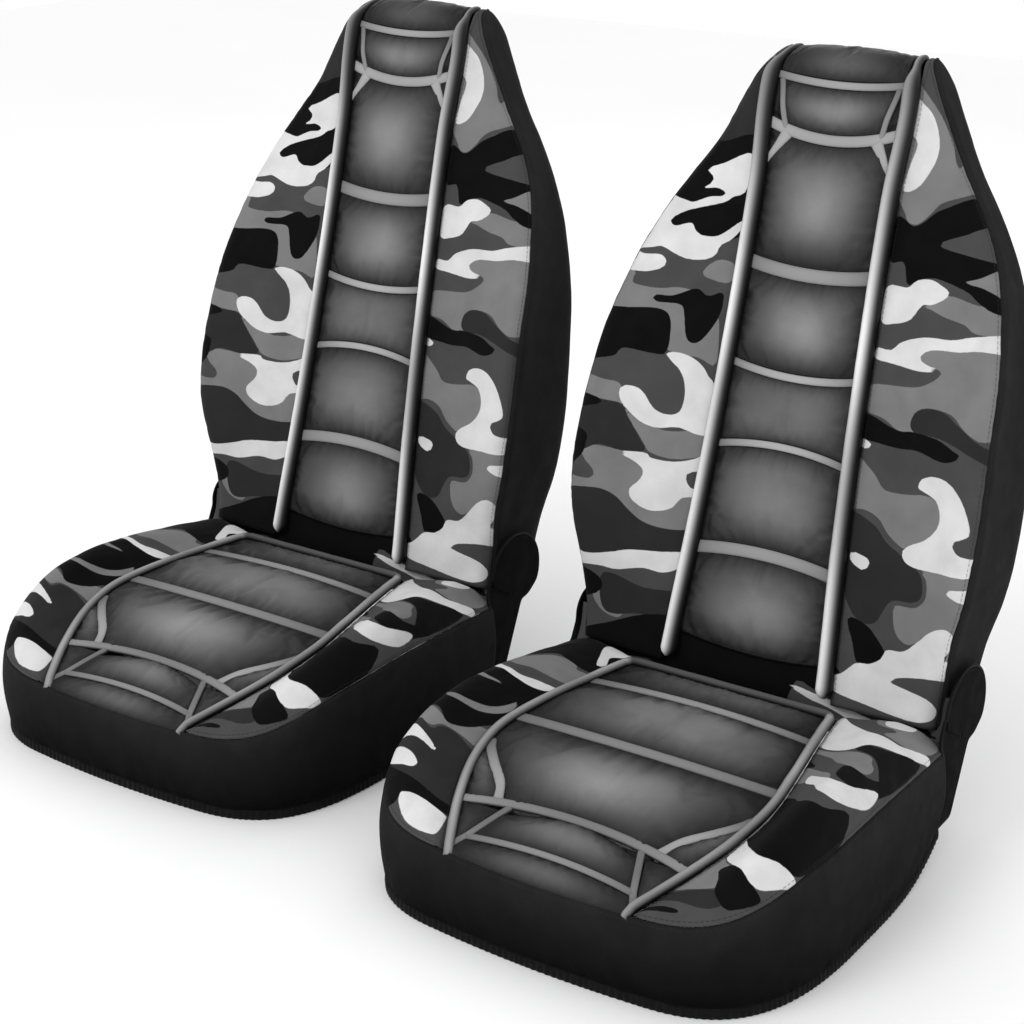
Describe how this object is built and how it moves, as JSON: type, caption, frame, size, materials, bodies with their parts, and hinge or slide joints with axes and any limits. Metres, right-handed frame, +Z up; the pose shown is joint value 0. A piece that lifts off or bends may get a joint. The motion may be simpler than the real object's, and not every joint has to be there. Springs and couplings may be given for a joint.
{
  "type": "seat cover set",
  "caption": "Pair of fitted front bucket-seat covers in grey camouflage with padded centre inserts, piping, elastic black sides and under-seat buckle straps.",
  "frame": {"origin": "on the floor line under the middle of the set (bottom centre of its bounding box)", "axes": "+Z up; the seats face -Y, so an occupant's left is +X; the driver's cover is at +X and the passenger's at -X"},
  "size_m": [1.2248, 0.7766, 0.9026],
  "materials": {
    "camouflage_fabric": "matte woven polyester printed in light grey, mid grey, dark grey and black camouflage",
    "pad_leatherette": "smooth charcoal padding, satin, lighter on the crown of each pad",
    "satin_piping": "pale grey satin piping with a soft highlight",
    "stretch_knit": "matte black stretch knit",
    "elastic": "matt black ribbed elastic",
    "webbing": "black ribbed webbing",
    "buckle_plastic": "black moulded plastic, satin"
  },
  "bodies": {
    "driver_seat_cover": {"driver_seat_wing_left": "camouflage_fabric", "driver_seat_wing_right": "camouflage_fabric", "driver_seat_tuck_strip": "camouflage_fabric", "driver_seat_piping": "satin_piping", "driver_seat_pad_rear": "pad_leatherette", "driver_seat_pad_second": "pad_leatherette", "driver_seat_pad_centre": "pad_leatherette", "driver_seat_pad_front": "pad_leatherette", "driver_seat_skirt": "stretch_knit", "driver_seat_hem": "elastic", "driver_recliner_gusset_left": "elastic", "driver_recliner_gusset_right": "elastic", "driver_strap_left": "webbing", "driver_strap_right": "webbing", "driver_buckle_socket": "buckle_plastic"},
    "driver_back_cover": {"driver_back_wing_left": "camouflage_fabric", "driver_back_wing_right": "camouflage_fabric", "driver_back_side_left": "stretch_knit", "driver_back_side_right": "stretch_knit", "driver_back_rear": "stretch_knit", "driver_back_pipe_left": "satin_piping", "driver_back_pipe_right": "satin_piping", "driver_back_pad_lumbar": "pad_leatherette", "driver_back_pad_mid_lower": "pad_leatherette", "driver_back_pad_middle": "pad_leatherette", "driver_back_pad_mid_upper": "pad_leatherette", "driver_back_pad_upper": "pad_leatherette", "driver_back_pad_headrest": "pad_leatherette", "driver_back_pad_headrest_top": "pad_leatherette"},
    "driver_buckle_plug_body": {"driver_buckle_plug": "buckle_plastic"},
    "passenger_seat_cover": {"passenger_seat_wing_left": "camouflage_fabric", "passenger_seat_wing_right": "camouflage_fabric", "passenger_seat_tuck_strip": "camouflage_fabric", "passenger_seat_piping": "satin_piping", "passenger_seat_pad_rear": "pad_leatherette", "passenger_seat_pad_second": "pad_leatherette", "passenger_seat_pad_centre": "pad_leatherette", "passenger_seat_pad_front": "pad_leatherette", "passenger_seat_skirt": "stretch_knit", "passenger_seat_hem": "elastic", "passenger_recliner_gusset_left": "elastic", "passenger_recliner_gusset_right": "elastic", "passenger_strap_left": "webbing", "passenger_strap_right": "webbing", "passenger_buckle_socket": "buckle_plastic"},
    "passenger_back_cover": {"passenger_back_wing_left": "camouflage_fabric", "passenger_back_wing_right": "camouflage_fabric", "passenger_back_side_left": "stretch_knit", "passenger_back_side_right": "stretch_knit", "passenger_back_rear": "stretch_knit", "passenger_back_pipe_left": "satin_piping", "passenger_back_pipe_right": "satin_piping", "passenger_back_pad_lumbar": "pad_leatherette", "passenger_back_pad_mid_lower": "pad_leatherette", "passenger_back_pad_middle": "pad_leatherette", "passenger_back_pad_mid_upper": "pad_leatherette", "passenger_back_pad_upper": "pad_leatherette", "passenger_back_pad_headrest": "pad_leatherette", "passenger_back_pad_headrest_top": "pad_leatherette"},
    "passenger_buckle_plug_body": {"passenger_buckle_plug": "buckle_plastic"}
  },
  "joints": [
    {"name": "driver_recline", "type": "hinge", "parent": "driver_seat_cover", "child": "driver_back_cover", "pos_m": [0.3355, 0.1312, 0.178], "axis": [-1, 0, 0], "range_deg": [-10, 40]},
    {"name": "driver_buckle_release", "type": "slide", "parent": "driver_seat_cover", "child": "driver_buckle_plug_body", "axis": [1, 0, 0], "range_m": [0, 0.034]},
    {"name": "passenger_seat_track", "type": "slide", "parent": "driver_seat_cover", "child": "passenger_seat_cover", "axis": [0, 1, 0], "range_m": [-0.12, 0.12]},
    {"name": "passenger_recline", "type": "hinge", "parent": "passenger_seat_cover", "child": "passenger_back_cover", "pos_m": [-0.3355, 0.1832, 0.178], "axis": [-1, 0, 0], "range_deg": [-10, 40]},
    {"name": "passenger_buckle_release", "type": "slide", "parent": "passenger_seat_cover", "child": "passenger_buckle_plug_body", "axis": [1, 0, 0], "range_m": [0, 0.034]}
  ]
}
